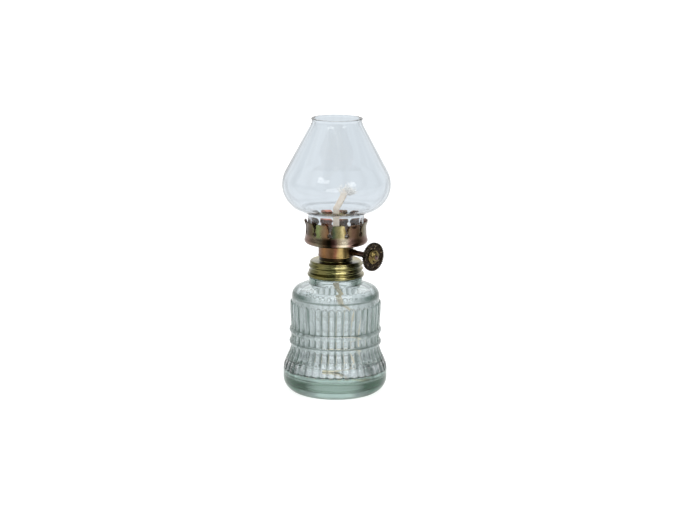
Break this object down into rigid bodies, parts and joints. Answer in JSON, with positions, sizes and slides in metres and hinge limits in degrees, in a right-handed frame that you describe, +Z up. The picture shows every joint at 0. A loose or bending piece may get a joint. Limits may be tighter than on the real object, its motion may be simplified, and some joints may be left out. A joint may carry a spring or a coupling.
{
  "type": "oil lamp",
  "caption": "Miniature oil lamp with a ribbed pressed-glass font, screw-on flat-wick burner with a winding knob, pronged gallery and conical glass chimney.",
  "frame": {"origin": "centre of the font's base, on the surface that the lamp stands on", "axes": "+Z up along the lamp's axis; +X along the winding spindle, towards the knob"},
  "size_m": [0.0548, 0.0548, 0.1401],
  "materials": {
    "font_glass": "pressed glass, pale green, slightly wavy",
    "chimney_glass": "clear blown glass, fire-polished",
    "washer": "matt",
    "collar_metal": "bright olive-gold passivated sheet, rolled thread",
    "drum_metal": "bright copper-gold passivated sheet",
    "gallery_metal": "bright iridescent passivated sheet, red-brown with green and violet tints",
    "tube_metal": "satin",
    "spindle_metal": "dark bronzed",
    "knob_metal": "dark bronze, worn at the teeth",
    "boss_metal": "aged, domed and stepped",
    "cotton": "woven cotton, frayed at the end"
  },
  "bodies": {
    "font": {"font": "font_glass"},
    "gasket": {"neck_gasket": "washer"},
    "burner": {"screw_collar": "collar_metal", "burner_drum": "drum_metal", "gallery": "gallery_metal", "wick_tube": "tube_metal", "spindle_bush": "boss_metal"},
    "spindle": {"spindle": "spindle_metal", "wick_sprockets": "spindle_metal", "knob": "knob_metal", "knob_boss": "boss_metal"},
    "wick": {"wick": "cotton", "wick_tail": "cotton"},
    "chimney": {"chimney": "chimney_glass"}
  },
  "joints": [
    {"name": "burner_rise", "type": "slide", "parent": "font", "child": "gasket", "axis": [0, 0, 1], "range_m": [0, 0.008]},
    {"name": "burner_unscrew", "type": "hinge", "parent": "gasket", "child": "burner", "pos_m": [0, 0, 0.0673], "axis": [0, 0, 1], "range_deg": [0, 1080]},
    {"name": "spindle_turn", "type": "hinge", "parent": "burner", "child": "spindle", "pos_m": [0, 0.0035, 0.0724], "axis": [1, 0, 0], "range_deg": [-118, 241]},
    {"name": "wick_raise", "type": "slide", "parent": "burner", "child": "wick", "axis": [0, 0, 1], "range_m": [-0.0115, 0.0055], "deforming": ["wick_tail"]},
    {"name": "chimney_lift", "type": "slide", "parent": "burner", "child": "chimney", "axis": [0, 0, 1], "range_m": [0, 0.035]}
  ],
  "couplings": [
    {"joint": "burner_rise", "follows": "burner_unscrew", "m_per_rad": 0.0004138},
    {"joint": "spindle_turn", "follows": "wick_raise", "rad_per_m": -357.14}
  ]
}
